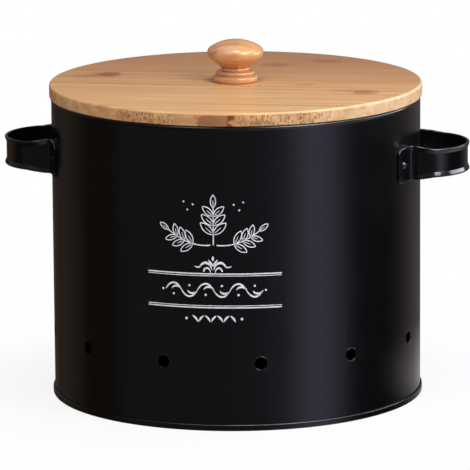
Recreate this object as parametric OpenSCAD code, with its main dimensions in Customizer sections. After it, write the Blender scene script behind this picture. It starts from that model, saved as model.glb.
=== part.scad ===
// Potato storage tin: a round powder-coated tin with air vents, two strap
// handles and a lift-off bamboo lid with a turned knob. Lengths are in
// millimetres. The origin is the centre of the base ring, +Z points up and
// the front faces -Y.

/* [Tin] */
// Outside diameter of the wall
body_d = 240; // [200:1:300]
// Height of the crest of the rolled rim above the table
body_h = 195.9; // [175:0.1:260]
// Thickness of the sheet steel
sheet_t = 0.4; // [0.3:0.05:0.6]
// Radius of the inward curl along the rim
rim_r = 1.6; // [1.3:0.1:2.4]
// How far the curl swells past the wall
rim_swell = 0.3; // [0:0.1:0.6]
// Width of the folded side seam, inside the wall at the back
side_seam_w = 5; // [3:0.5:10]

/* [Base] */
// Height of the double seam that joins the wall and the base
seam_h = 4; // [3:0.25:6]
// Height of the base panel's upper face above the table
base_lift = 3.5; // [2.5:0.25:6]
// Radius of the bend between the base panel and its rim
base_bend_r = 1.2; // [0.8:0.1:2]
// Diameter of the stiffening bead in the base panel
base_bead_d = 180; // [120:1:190]
// Width of the stiffening bead
base_bead_w = 6; // [4:0.5:10]
// Height of the stiffening bead
base_bead_h = 0.8; // [0.5:0.1:1.5]

/* [Vents] */
// Number of air vents around the wall
vent_count = 12; // [6:2:24]
// Diameter of a vent
vent_d = 8; // [4:0.5:12]
// Height of the vent centres
vent_z = 43.6; // [20:0.2:100]

/* [Handles] */
// How far the loop stands off the wall
handle_reach = 32.5; // [28:0.5:45]
// How far below the crest of the rim the middle of the strap lies
handle_drop = 37.7; // [22:0.1:80]
// Width of the strap at its feet
foot_w = 22.5; // [18:0.5:28]
// Width of the strap along the loop, between the outsides of its hems
loop_w = 18.6; // [14:0.2:18.6]
// Thickness of the strap's sheet
strap_t = 0.8; // [0.6:0.1:1.2]
// Outside radius of the loop at its nose
nose_r = 36; // [32:0.5:40]
// Turn of the nose arc, to each side of the middle
nose_turn = 50; // [45:1:55]
// Outside radius of the loop at its sides
side_r = 21; // [18:0.5:24]
// Radius of the fold between the loop and a foot
fold_r = 3; // [2:0.25:4]
// Length of a foot along the wall
foot_l = 15.5; // [13:0.5:22]
// Radius of a foot's corners
foot_corner_r = 4; // [2:0.5:6]
// Height of the hem rolled along each edge of the loop
hem_h = 3.4; // [3:0.1:5]
// Thickness of the hem along the loop, with the strap's own sheet
hem_t = 1.9; // [1.6:0.1:2.6]
// Height of the flattened hem on a foot
foot_hem_h = 3; // [2:0.1:4]
// How far the flattened hem stands off a foot
foot_hem_t = 0.6; // [0.4:0.1:0.8]

/* [Rivets] */
// Diameter of a rivet's domed head
rivet_head_d = 5; // [4:0.2:7]
// Height of the domed head
rivet_head_h = 1.5; // [1:0.1:2.2]
// Diameter of the shank
rivet_d = 2.4; // [2:0.1:3.2]
// Diameter of the flat head that is set inside the tin
rivet_set_d = 4.6; // [4:0.2:6]
// Thickness of the set head
rivet_set_h = 0.8; // [0.5:0.1:1.2]
// Distance from the fold to the rivet, along the foot
rivet_from_fold = 7; // [5:0.25:9]

/* [Lid] */
// How far the lid stands out past the wall all round
lid_overhang = 1.2; // [0.8:0.1:5]
// Thickness of the board above the rim
lid_t = 8.4; // [6:0.2:14]
// Radius of the rounding along the top edge
lid_top_r = 1.3; // [0.5:0.1:2.5]
// Radius of the rounding along the bottom edge
lid_bottom_r = 0.8; // [0.4:0.1:2]
// Depth of the step that centres the lid in the rim
step_h = 7; // [5:0.5:12]
// Gap between the step and the rim, which the seal bridges
step_gap = 2; // [1.5:0.1:3]
// Distance of the glued joint nearest the middle from the centre
joint_offset = 4.5; // [3.6:0.1:8]
// Height of the silicone seal, which fills its groove
seal_h = 2; // [1.6:0.1:2.4]
// Depth of the seal's groove in the step
groove_depth = 2; // [1.6:0.1:3]
// Gap between the seal's round nose and the rim
seal_gap = 0.4; // [0.3:0.05:0.6]

/* [Knob] */
// Diameter of the knob's head
knob_d = 36.6; // [34:0.2:42]
// Height of the knob
knob_h = 27.5; // [26:0.1:32]
// Height of the crown above the head's widest line
crown_h = 8.6; // [8:0.1:9.2]
// Radius of the round edge between the crown and the cone under it
head_edge_r = 4.6; // [4:0.1:5.5]
// Diameter of the lower ring of the knob's foot
ring_1_d = 28.2; // [26:0.2:32]
// Height of the lower ring
ring_1_h = 5; // [4:0.1:5.5]
// Diameter of the upper ring
ring_2_d = 24.8; // [22:0.2:26]
// Height of the upper ring
ring_2_h = 2; // [1.6:0.1:2.6]
// Diameter of the neck between the rings and the head
neck_d = 18.4; // [16:0.2:20]
// Height of the neck
neck_h = 2.5; // [2:0.1:3]

/* [Screw] */
// Diameter of the screw that holds the knob
screw_d = 4; // [3:0.1:5]
// Diameter of the countersunk head
screw_head_d = 8; // [6.5:0.1:9]
// How deep the screw reaches into the knob
screw_bite = 13; // [8:0.5:16]

/* [Hidden] */
$fn = 96;
LID_STRIPS = 10;

coat = [0.07, 0.07, 0.08];
bamboo = [0.82, 0.63, 0.42];
varnished_bamboo = [0.83, 0.58, 0.36];

// Steps of a rounded corner
ARC_STEPS = 6;
// Running gap between parts that are put together and not pressed
fit_gap = 0.05;
// The flat facets of a foot stay this far off the round wall
foot_lift = 0.02;
// A cutter reaches this far past the face that it cuts
over = 1;

body_r = body_d / 2;
rim_c = body_r + rim_swell - rim_r;
rim_z = body_h - rim_r;
rim_inner_r = rim_c - rim_r;

// The seam is five sheets thick: two inside the wall's face, three outside
seam_roll = 1.5 * sheet_t;

handle_z = body_h - handle_drop;
// Centre of the loop's nose, and of the side arc towards +Y
nose_x = body_r + handle_reach - nose_r;
side_c = [nose_x + (nose_r - side_r) * cos(nose_turn), (nose_r - side_r) * sin(nose_turn)];
// The strap's own outer face lies inside the hem's
strap_side_r = side_r - (hem_t - strap_t);
// The fold touches the foot's face and the side arc, so its centre is where
// two circles cross: one round the tin's axis, one round the side arc's centre
foot_r = body_r + foot_lift + strap_t;
fold_from_axis = foot_r + fold_r;
fold_from_side = strap_side_r + fold_r;
side_from_axis = norm(side_c);
fold_a = atan2(side_c[1], side_c[0])
    + acos((pow(fold_from_axis, 2) + pow(side_from_axis, 2) - pow(fold_from_side, 2))
        / (2 * fold_from_axis * side_from_axis));
fold_c = fold_from_axis * [cos(fold_a), sin(fold_a)];
side_end_a = atan2(fold_c[1] - side_c[1], fold_c[0] - side_c[0]);
// Degrees along the wall for one millimetre of foot
deg_per_mm = 180 / (PI * foot_r);
rivet_a = fold_a + rivet_from_fold * deg_per_mm;

lid_r = body_r + lid_overhang;
// The board's underside rests this far above the crest of the rim
seat_gap = 0.1;
lid_z = body_h + seat_gap;
lid_top = lid_z + lid_t;
step_r = rim_inner_r - step_gap;
step_z = lid_z - step_h;
front_strips = LID_STRIPS / 2;
strip_w = (lid_r + joint_offset) / front_strips;

seal_z = lid_z - step_h / 2;
groove_r = step_r - groove_depth;
// The seal's round inner face stays this far off the bottom of the groove
groove_gap = 0.2;
seal_nose_c = rim_inner_r - seal_gap - seal_h / 2;

knob_r = knob_d / 2;
neck_r = neck_d / 2;
neck_top = ring_1_h + ring_2_h + neck_h;
// The head's round edge in section, and the crown's arc, which touches it
head_edge_c = [knob_r - head_edge_r, knob_h - crown_h];
crown_r = (pow(norm([head_edge_c[0], crown_h]), 2) - pow(head_edge_r, 2)) / (2 * (crown_h - head_edge_r));
crown_c = [0, knob_h - crown_r];
crown_start = atan2(head_edge_c[1] - crown_c[1], head_edge_c[0]);
// The cone leaves the neck's top corner and touches the round edge
cone = head_edge_c - [neck_r, neck_top];
cone_a = atan2(cone[1], cone[0]) - asin(min(1, head_edge_r / norm(cone)));

screw_r = screw_d / 2;
screw_head_r = screw_head_d / 2;
screw_sink = 0.4;
screw_head_z = step_z + screw_sink;
screw_head_h = screw_head_r - screw_r;
screw_tip_h = screw_d;
screw_top = lid_top + screw_bite;

function unit(a) = [cos(a), sin(a)];
function arc(c, r, a0, a1, n) = [for (i = [0 : n]) c + r * unit(a0 + (a1 - a0) * i / n)];
function mix(p, q, share) = p + (q - p) * share;

// Half section of a disc whose two rims are rounded
function disc_section(r, z0, z1, r_bottom, r_top) = concat(
    [[0, z0]],
    arc([r - r_bottom, z0 + r_bottom], r_bottom, -90, 0, ARC_STEPS),
    arc([r - r_top, z1 - r_top], r_top, 0, 90, ARC_STEPS),
    [[0, z1]]);

// The wall's sheet in section, from its hook in the base seam to the rolled rim
module wall_section() {
    hook_z = seam_h - seam_roll;
    curl_end = 240;
    outer_start = -acos((body_r - rim_c) / rim_r);
    inner_start = -acos((body_r - sheet_t - rim_c) / (rim_r - sheet_t));
    polygon(concat(
        [[body_r + sheet_t, hook_z], [body_r + sheet_t, 2 * sheet_t], [body_r, 2 * sheet_t]],
        arc([rim_c, rim_z], rim_r, outer_start, curl_end, 4 * ARC_STEPS),
        arc([rim_c, rim_z], rim_r - sheet_t, curl_end, inner_start, 4 * ARC_STEPS),
        arc([body_r, 2 * sheet_t], sheet_t, 180, 270, ARC_STEPS),
        arc([body_r + sheet_t, 2 * sheet_t], sheet_t, 270, 360, ARC_STEPS),
        [[body_r + 2 * sheet_t, hook_z]]));
}

module body_shell() {
    color(coat) difference() {
        union() {
            rotate_extrude($fn = 180) wall_section();
            side_seam();
        }
        for (i = [0 : vent_count - 1])
            rotate([0, 90, (i + 0.5) * 360 / vent_count - 90])
                translate([-vent_z, 0, body_r - vent_d])
                    cylinder(d = vent_d, h = vent_d + over);
        for (side = [0, 180], end = [-1, 1]) rivet_hole(side + end * rivet_a);
    }
}

// The two edges of the wall's sheet are folded together inside the tin
module side_seam() {
    z0 = base_lift + base_bend_r;
    z1 = rim_z - 2 * rim_r;
    translate([0, 0, z0]) intersection() {
        difference() {
            cylinder(r = body_r - sheet_t / 2, h = z1 - z0);
            translate([0, 0, -over]) cylinder(r = body_r - 2 * sheet_t, h = z1 - z0 + 2 * over);
        }
        translate([-side_seam_w / 2, 0, 0]) cube([side_seam_w, body_r, z1 - z0]);
    }
}

module rivet_hole(a) {
    rotate([0, 90, a]) translate([-handle_z, 0, body_r - 3])
        cylinder(r = rivet_d / 2 + fit_gap, h = 3 + strap_t + over);
}

// One face of the base panel, from the middle outwards, over the bead
function panel_line(z) = let (r = base_bead_d / 2, w = base_bead_w / 2) [
    [0, z], [r - w - base_bead_h, z], [r - w, z + base_bead_h],
    [r + w, z + base_bead_h], [r + w + base_bead_h, z]];

// The base's sheet in section: panel, rim and the part of the seam that wraps
// the wall's hook
module base_section() {
    hook_z = seam_h - seam_roll;
    bend_c = [body_r - sheet_t - base_bend_r, base_lift - base_bend_r];
    inner_c = [body_r, 2 * sheet_t];
    outer_c = [body_r + sheet_t, 2 * sheet_t];
    roll_c = [body_r + seam_roll, hook_z];
    polygon(concat(
        panel_line(base_lift),
        arc(bend_c, base_bend_r, 90, 0, ARC_STEPS),
        arc(inner_c, sheet_t, 180, 270, ARC_STEPS),
        arc(outer_c, sheet_t, 270, 360, ARC_STEPS),
        arc(roll_c, sheet_t / 2, 0, 180, ARC_STEPS),
        [[body_r + sheet_t, 3 * sheet_t], [body_r, 3 * sheet_t]],
        arc(roll_c, seam_roll, 180, 0, 2 * ARC_STEPS),
        arc(outer_c, 2 * sheet_t, 0, -90, ARC_STEPS),
        arc(inner_c, 2 * sheet_t, 270, 180, ARC_STEPS),
        arc(bend_c, base_bend_r - sheet_t, 0, 90, ARC_STEPS),
        reverse(panel_line(base_lift - sheet_t))));
}

function reverse(list) = [for (i = [len(list) - 1 : -1 : 0]) list[i]];

module base_pan() {
    color(coat) rotate_extrude($fn = 180) base_section();
}

// A station of the strap: a point of its inner face, the direction that its
// outer face looks in, its half width, the thickness and the height of its hems
function station(c, r, a, facing, share, cut) = [
    c + r * unit(a), facing * unit(a),
    mix(foot_w, loop_w, share) / 2 - cut,
    mix(strap_t + foot_hem_t, hem_t, share),
    mix(foot_hem_h, hem_h, share)];

// Half of the strap, from the loop's nose to the end of a foot. The section
// turns from the loop's to the foot's along the side arc.
function half_strap() = let (
        fold_start = atan2(side_c[1] - fold_c[1], side_c[0] - fold_c[0]),
        fold_end = fold_a - 180,
        flat_l = foot_l - foot_corner_r)
    concat(
        [for (i = [0 : 5]) station([nose_x, 0], nose_r - hem_t, nose_turn * i / 5, 1, 1, 0)],
        [for (i = [1 : 6])
            station(side_c, side_r - hem_t, mix(nose_turn, side_end_a, i / 6), 1, min(1, 1.5 - i / 4), 0)],
        [for (i = [1 : 4])
            station(fold_c, fold_r + strap_t, mix(fold_start, fold_end, i / 4), -1, 0, 0)],
        [for (i = [1 : 2])
            station([0, 0], body_r + foot_lift, fold_a + flat_l * deg_per_mm * i / 3, 1, 0, 0)],
        [for (i = [0 : 5]) let (a = 18 * i)
            station([0, 0], body_r + foot_lift,
                fold_a + (flat_l + foot_corner_r * sin(a)) * deg_per_mm, 1, 0,
                foot_corner_r * (1 - cos(a)))]);

// The strap's outline across its run: a flat sheet between two hems whose
// corners are cut, as [distance from the inner face, height]
function strap_section(half_w, thick, high) = let (c = thick / 3) [
    [0, c - half_w], [c, -half_w], [thick - c, -half_w], [thick, c - half_w],
    [thick, high - c - half_w], [thick - c, high - half_w], [strap_t, high - half_w],
    [strap_t, half_w - high], [thick - c, half_w - high], [thick, half_w - high + c],
    [thick, half_w - c], [thick - c, half_w], [c, half_w], [0, half_w - c]];

// Sweeps the section through the stations
module strap_sweep(stations) {
    outlines = [for (s = stations) strap_section(s[2], s[3], s[4])];
    sides = len(outlines[0]);
    last = len(stations) - 1;
    points = [for (i = [0 : last], q = outlines[i]) let (p = stations[i][0] + q[0] * stations[i][1])
        [p[0], p[1], q[1]]];
    faces = concat(
        [for (i = [0 : last - 1], j = [0 : sides - 1]) let (k = (j + 1) % sides, a = i * sides)
            each [[a + j, a + k, a + sides + j], [a + k, a + sides + k, a + sides + j]]],
        [[for (j = [sides - 1 : -1 : 0]) j], [for (j = [0 : sides - 1]) last * sides + j]]);
    polyhedron(points, faces);
}

module right_handle() {
    half = half_strap();
    other_half = [for (i = [len(half) - 1 : -1 : 1]) let (s = half[i])
        [[s[0][0], -s[0][1]], [s[1][0], -s[1][1]], s[2], s[3], s[4]]];
    color(coat) difference() {
        translate([0, 0, handle_z]) strap_sweep(concat(other_half, half));
        for (end = [-1, 1]) rivet_hole(end * rivet_a);
    }
}

module left_handle() {
    mirror([1, 0, 0]) right_handle();
}

// A rivet in the direction a: domed head outside, shank, set head inside
module rivet(a) {
    head_r = rivet_head_d / 2;
    dome_r = (pow(head_r, 2) + pow(rivet_head_h, 2)) / (2 * rivet_head_h);
    // The set head is flat and the wall is curved, so only its edge comes near
    set_z = sqrt(pow(body_r - sheet_t, 2) - pow(rivet_set_d / 2, 2)) - fit_gap / 2;
    color(coat) rotate([0, 90, a]) translate([-handle_z, 0, 0]) {
        intersection() {
            translate([0, 0, foot_r + rivet_head_h - dome_r]) sphere(dome_r);
            translate([0, 0, foot_r]) cylinder(r = head_r + over, h = rivet_head_h + over);
        }
        translate([0, 0, set_z - rivet_set_h / 2])
            cylinder(d = rivet_d, h = foot_r - set_z + rivet_set_h / 2 + rivet_head_h / 2);
        translate([0, 0, set_z - rivet_set_h]) cylinder(d = rivet_set_d, h = rivet_set_h);
    }
}

module rivet_right_front() { rivet(-rivet_a); }
module rivet_right_back() { rivet(rivet_a); }
module rivet_left_front() { rivet(180 + rivet_a); }
module rivet_left_back() { rivet(180 - rivet_a); }

// The whole board, as it leaves the lathe: overhang, step, seal groove, screw hole
module lid_board() {
    difference() {
        rotate_extrude($fn = 180) difference() {
            union() {
                polygon(disc_section(lid_r, lid_z, lid_top, lid_bottom_r, lid_top_r));
                polygon(disc_section(step_r, step_z, lid_top - lid_top_r, lid_bottom_r, lid_bottom_r));
            }
            translate([groove_r, seal_z - seal_h / 2]) square([groove_depth + over, seal_h]);
        }
        translate([0, 0, step_z - over])
            cylinder(r = screw_r + fit_gap, h = lid_t + step_h + 2 * over);
        translate([0, 0, step_z - over]) cylinder(r = screw_head_r + fit_gap, h = screw_sink + over);
        translate([0, 0, screw_head_z])
            cylinder(r1 = screw_head_r + fit_gap, r2 = screw_r + fit_gap, h = screw_head_h);
    }
}

// Strip i of the board, counted from the front; its grain runs along X
module lid_strip(i) {
    y0 = joint_offset + (i - 1 - front_strips) * strip_w;
    color(bamboo * (0.94 + 0.06 * sin(i * 137))) intersection() {
        lid_board();
        translate([-lid_r - over, y0, step_z - over])
            cube([2 * (lid_r + over), strip_w, step_h + lid_t + 2 * over]);
    }
}

module lid_seal() {
    root_r = groove_r + groove_gap;
    color([0.9, 0.9, 0.88]) rotate_extrude($fn = 180) {
        translate([root_r, seal_z - seal_h / 2]) square([seal_nose_c - root_r, seal_h]);
        translate([seal_nose_c, seal_z]) circle(d = seal_h);
    }
}

// The knob's turned section: two rounded rings, a neck, and a head with a cone
// below, a round edge and a flat crown
module knob_section() {
    polygon(disc_section(ring_1_d / 2, 0, ring_1_h, ring_1_h / 4, ring_1_h / 3));
    polygon(disc_section(ring_2_d / 2, ring_1_h / 2, ring_1_h + ring_2_h, ring_2_h / 4, ring_2_h / 2));
    polygon(concat(
        [[0, ring_1_h], [neck_r, ring_1_h], [neck_r, neck_top]],
        arc(head_edge_c, head_edge_r, cone_a - 90, crown_start, 14),
        [for (i = [1 : 12]) crown_c + crown_r * unit(mix(crown_start, 90, i / 12))]));
}

module knob() {
    color(varnished_bamboo) translate([0, 0, lid_top]) difference() {
        rotate_extrude() knob_section();
        translate([0, 0, -over]) cylinder(r = screw_r, h = screw_bite - screw_tip_h + over);
        translate([0, 0, screw_bite - screw_tip_h]) cylinder(r1 = screw_r, r2 = 0, h = screw_tip_h);
    }
}

module knob_screw() {
    slot_w = screw_d / 4;
    slot_h = screw_head_h / 2;
    color([0.7, 0.7, 0.72]) difference() {
        union() {
            translate([0, 0, screw_head_z]) cylinder(r1 = screw_head_r, r2 = screw_r, h = screw_head_h);
            translate([0, 0, screw_head_z + screw_head_h / 2])
                cylinder(r = screw_r, h = screw_top - screw_tip_h - screw_head_z - screw_head_h / 2);
            translate([0, 0, screw_top - screw_tip_h]) cylinder(r1 = screw_r, r2 = 0, h = screw_tip_h);
        }
        for (a = [0, 90]) rotate([0, 0, a])
            translate([-screw_d / 2, -slot_w / 2, screw_head_z - over])
                cube([screw_d, slot_w, slot_h + over]);
    }
}

body_shell();
base_pan();
right_handle();
left_handle();
rivet_right_front();
rivet_right_back();
rivet_left_front();
rivet_left_back();
for (i = [1 : LID_STRIPS])
    lid_strip(i);
lid_seal();
knob();
knob_screw();
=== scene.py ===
"""A potato storage tin: black powder-coated steel, a bamboo lid and a varnished knob.

The tin's lengths are in millimetres up to the point where a mesh is finished, and the
studio's are in metres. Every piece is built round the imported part.
"""

import math

import bmesh
import bpy
from mathutils import Matrix, Vector
from mathutils.geometry import interpolate_bezier


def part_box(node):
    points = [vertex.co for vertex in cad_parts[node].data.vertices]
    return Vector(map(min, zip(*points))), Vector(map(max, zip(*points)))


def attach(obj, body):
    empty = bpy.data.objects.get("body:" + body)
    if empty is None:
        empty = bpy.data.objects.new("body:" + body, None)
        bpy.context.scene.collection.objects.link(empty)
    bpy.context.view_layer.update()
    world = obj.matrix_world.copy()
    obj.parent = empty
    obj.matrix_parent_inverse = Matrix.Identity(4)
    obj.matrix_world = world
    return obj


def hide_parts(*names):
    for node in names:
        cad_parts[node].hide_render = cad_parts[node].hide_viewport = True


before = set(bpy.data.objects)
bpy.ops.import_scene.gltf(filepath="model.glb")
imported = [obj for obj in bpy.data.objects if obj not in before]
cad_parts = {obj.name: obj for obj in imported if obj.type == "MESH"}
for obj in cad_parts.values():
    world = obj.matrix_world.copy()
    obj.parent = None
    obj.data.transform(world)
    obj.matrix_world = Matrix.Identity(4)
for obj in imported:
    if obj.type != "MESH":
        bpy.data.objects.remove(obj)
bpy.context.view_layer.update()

MM = 0.001

# Vertices that lie closer than this are one
MERGE = 0.001


def box_mm(node):
    """The lowest and highest corner of a CAD node, in millimetres."""
    low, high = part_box(node)
    return low / MM, high / MM


# Tin
SHEET = 0.4
WALL_R = box_mm("body_shell")[1].x - 2 * SHEET
VENTS = 12
VENT_R = 4
VENT_Z = 43.6
VENT_EDGE_R = 0.28
VENT_STEPS = 48
VENT_EDGE_STEPS = 10

# Handles: a strap is bent round a wide nose and two tighter sides and folded out to a flat
# foot at each end, and a hem is rolled along both its edges
STRAP_T = 0.8
LOOP_W = 18.6
NOSE_R = 36
NOSE_TURN = 50
SIDE_R = 21
FOLD_R = 3
FOOT_L = 15.5
FOOT_CORNER_R = 4
FOOT_LIFT = 0.02
FOOT_HEM_H = 3
FOOT_HEM_T = 0.6
HEM_H = 3.4
HEM_T = 1.9
HEM_SLOPE = 21
HEM_LEDGE = 0.2

# The share of a side over which the loop widens into its foot
WIDENING = 2 / 3

# How many steps each stretch of the strap is swept in, and those round a hem
NOSE_STEPS = 16
SIDE_STEPS = 16
FOLD_STEPS = 8
FLAT_STEPS = 4
CORNER_STEPS = 9
HEM_STEPS = 14

# Lid: the strips run along X and are counted from the front
LID_TOP = box_mm("lid_strip_5")[1].z
STRIP_LOW, STRIP_HIGH = (corner.y for corner in box_mm("lid_strip_5"))
STRIP_W = STRIP_HIGH - STRIP_LOW
STRIPS = 10
LID_FRONT = box_mm("lid_strip_1")[0].y

# The board's upper edge is rounded and sanded, and a painted highlight along it fades into the rim's colour
# below it
LID_EDGE_R = 1.2
LID_EDGE_FADE = 0.4

# Knob: its head has a flat crown, a round edge and a cone below
KNOB_R = box_mm("knob")[1].x
KNOB_H = box_mm("knob")[1].z - LID_TOP
KNOB_SIDES = 96
CROWN_H = 8.6
HEAD_EDGE_R = 4.6
HEAD_STEPS = 16
CONE_SLOPE = 51.8

# The rings below the head. Each is the middle of its section, from the axis and from the
# lid, its radius, the angles that its arc runs between, and the arc's steps
RING_FOOT = ((13.1, 1.3), 1.3, -90, 0, 6)
LOWER_RING = ((12.9, 2.7), 1.5, 0, 84, 8)
UPPER_RING = ((11.35, 5.8), 1.2, -65, 88, 9)
NECK_BEAD = ((7.95, 8.35), 1.4, -60, 62, 8)

# The grooves below and above the bead, and the foot of the cone
LOWER_GROOVE = (9.0, 7.05)
UPPER_GROOVE = (9.0, 9.65)
CONE_FOOT = (9.55, 9.7)

# Camera, fitted to the photograph: it circles the pivot and looks at the aim
CAMERA_PIVOT = Vector((0, 0, 110))
CAMERA_AIM = Vector((-0.88, -1.65, 102.56))
CAMERA_AZIMUTH = 7.96
CAMERA_ELEVATION = 11.4
CAMERA_DISTANCE = 3078
CAMERA_ROLL = -0.42
CAMERA_LENS = 360.6


def linear(colour):
    """An sRGB hex colour as linear red, green, blue and alpha."""
    parts = [int(colour[i:i + 2], 16) / 255 for i in (1, 3, 5)]
    return (*[c / 12.92 if c <= 0.04045 else ((c + 0.055) / 1.055) ** 2.4 for c in parts], 1)


def unit(degrees):
    """The direction at an angle from +X, in the plane."""
    return Vector((math.cos(math.radians(degrees)), math.sin(math.radians(degrees))))


def mix(start, end, share):
    """The value at a share of the way from start to end."""
    return start + (end - start) * share


def arc(centre, radius, start, end, steps):
    """Points along an arc, both ends included."""
    return [Vector(centre) + radius * unit(mix(start, end, i / steps)) for i in range(steps + 1)]


# Materials

def add(tree, kind, inputs=None, stops=None, **settings):
    """Adds a node. An input takes a value, another node's output, or a node, whose first
    output in use is meant. Stops are a colour ramp's."""
    made = tree.nodes.new(kind)
    for name, value in settings.items():
        setattr(made, name, value)
    for name, value in (inputs or {}).items():
        if isinstance(value, bpy.types.Node):
            value = next(socket for socket in value.outputs if socket.enabled)
        if isinstance(value, bpy.types.NodeSocket):
            tree.links.new(value, made.inputs[name])
        else:
            made.inputs[name].default_value = value
    if stops:
        elements = made.color_ramp.elements
        while len(elements) < len(stops):
            elements.new(1)
        for element, (place, colour) in zip(elements, stops):
            element.position = place
            element.color = colour
    return made


def blank(name):
    """A new material and its empty tree."""
    material = bpy.data.materials.new(name)
    material.use_nodes = True
    material.node_tree.nodes.clear()
    return material, material.node_tree


def millimetres(tree, stretch=(1, 1, 1)):
    """The piece's own coordinates in millimetres, each axis divided by its stretch."""
    place = add(tree, "ShaderNodeTexCoord").outputs["Object"]
    scale = [1 / MM / s for s in stretch]
    return add(tree, "ShaderNodeMapping", {"Vector": place, "Scale": scale})


def powder_coat(name, colour, roughness, peel_depth):
    """Black polyester powder coat, baked on sheet steel: a satin skin with a faint orange
    peel, whose bumps are about 2 mm apart, and a finer grit."""
    material, tree = blank(name)
    coarse = add(tree, "ShaderNodeTexNoise", {
        "Vector": millimetres(tree), "Scale": 1 / 2.2, "Detail": 2.0, "Roughness": 0.5})
    fine = add(tree, "ShaderNodeTexNoise", {
        "Vector": millimetres(tree), "Scale": 1 / 0.5, "Detail": 2.0, "Roughness": 0.6})
    cloudy = add(tree, "ShaderNodeTexNoise", {
        "Vector": millimetres(tree), "Scale": 1 / 45, "Detail": 3.0, "Roughness": 0.6})
    peel = add(tree, "ShaderNodeBump", {
        "Height": coarse, "Distance": peel_depth * MM, "Strength": 1.0})
    grit = add(tree, "ShaderNodeBump", {
        "Height": fine, "Normal": peel, "Distance": peel_depth * MM / 6, "Strength": 1.0})
    satin = add(tree, "ShaderNodeMapRange", {
        "Value": cloudy, "From Min": 0.3, "From Max": 0.7,
        "To Min": roughness - 0.03, "To Max": roughness + 0.03})
    skin = add(tree, "ShaderNodeBsdfPrincipled", {
        "Base Color": linear(colour), "Roughness": satin, "IOR": 1.5, "Normal": grit})
    add(tree, "ShaderNodeOutputMaterial", {"Surface": skin})
    return material


# The strips differ in colour, from the front of the lid to its back: each strip has its own tone, and
# painted shade makes the strips darker towards the back
STRIP_TONES_AND_SHADE = (
    "#dcaf7a", "#dbae79", "#d8aa76", "#d2a472", "#ce9f6e",
    "#c29366", "#b98a5f", "#ad7f58", "#a67954", "#a27653")

# Bamboo has a node every 20 to 30 cm, so most strips show one or none: the place of its
# scar, its half length and half width, and how dark it is
BAMBOO_NODES = (
    (-87, 18, 12, 13, 1.0),
    (-98, 10, 18, 8, 0.45),
    (18, 67, 12, 11, 0.6),
    (50, 84, 17, 10, 0.55),
    (48, -9, 10, 6, 0.35),
    (88, -34, 11, 12, 0.75),
    (80, -31, 16, 8, 0.4),
)

# One more lies in the front strip's outermost layer and shows on the rim alone, darker to
# the right of the second place
RIM_NODE_X = 4
RIM_NODE_DARK_X = 10.5
RIM_NODE_W = 22

# Where the rim cuts most bundles of fibres: the middle and the reach, along X
BUNDLES = ((-41, 26), (45, 36))

# A bundle's distance from the next, the length that it stays straight for, and how high
# its end on the rim is drawn out
BUNDLE_GAP = 1.25
BUNDLE_L = 70
BUNDLE_END_H = 2.6

# A glue joint is a dark hairline, drawn this wide so that it shows at all
JOINT_W = 0.6

# Each strip is cut from another stem, so its pattern starts this much further along
STEM_SHIFT = 977


def fibres(tree, place, length, width):
    """Streaks of that length and width."""
    drawn_out = add(tree, "ShaderNodeMapping", {
        "Vector": place, "Scale": (1 / length, 1 / width, 1 / width)})
    return add(tree, "ShaderNodeTexNoise", {
        "Vector": drawn_out, "Scale": 1.0, "Detail": 2.0, "Roughness": 0.55})


def bundle_marks(tree, own, axes, rim):
    """Vascular bundles: thin brown lines along the strip, and dots where the rim cuts them."""
    lengthwise = add(tree, "ShaderNodeMapping", {
        "Vector": own, "Scale": (1 / BUNDLE_L, 1 / BUNDLE_GAP, 1 / BUNDLE_GAP)})
    lines = add(tree, "ShaderNodeTexVoronoi", {"Vector": lengthwise, "Scale": 1.0})
    line = add(tree, "ShaderNodeMapRange", {
        "Value": lines, "From Min": 0.16, "From Max": 0.36, "To Min": 0.12, "To Max": 0.0},
        interpolation_type="SMOOTHSTEP")
    upright = add(tree, "ShaderNodeMapping", {
        "Vector": own, "Scale": (1 / BUNDLE_GAP, 1 / BUNDLE_GAP, 1 / BUNDLE_END_H)})
    dots = add(tree, "ShaderNodeTexVoronoi", {"Vector": upright, "Scale": 1.0})
    dot = add(tree, "ShaderNodeMapRange", {
        "Value": dots, "From Min": 0.28, "From Max": 0.6, "To Min": 0.75, "To Max": 0.0},
        interpolation_type="SMOOTHSTEP")
    many = 0.12
    for middle, reach in BUNDLES:
        offset = add(tree, "ShaderNodeMath", {0: axes["X"], 1: middle}, operation="SUBTRACT")
        away = add(tree, "ShaderNodeMath", {0: offset}, operation="ABSOLUTE")
        crowd = add(tree, "ShaderNodeMapRange", {
            "Value": away, "From Min": reach * 0.4, "From Max": reach, "To Min": 0.85, "To Max": 0.0},
            interpolation_type="SMOOTHSTEP")
        many = add(tree, "ShaderNodeMath", {0: many, 1: crowd}, operation="ADD")
    crowded = add(tree, "ShaderNodeMath", {0: dot, 1: many}, operation="MULTIPLY")
    ends = add(tree, "ShaderNodeMath", {0: crowded, 1: rim}, operation="MULTIPLY")
    return add(tree, "ShaderNodeMath", {0: line, 1: ends}, operation="MAXIMUM")


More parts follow.
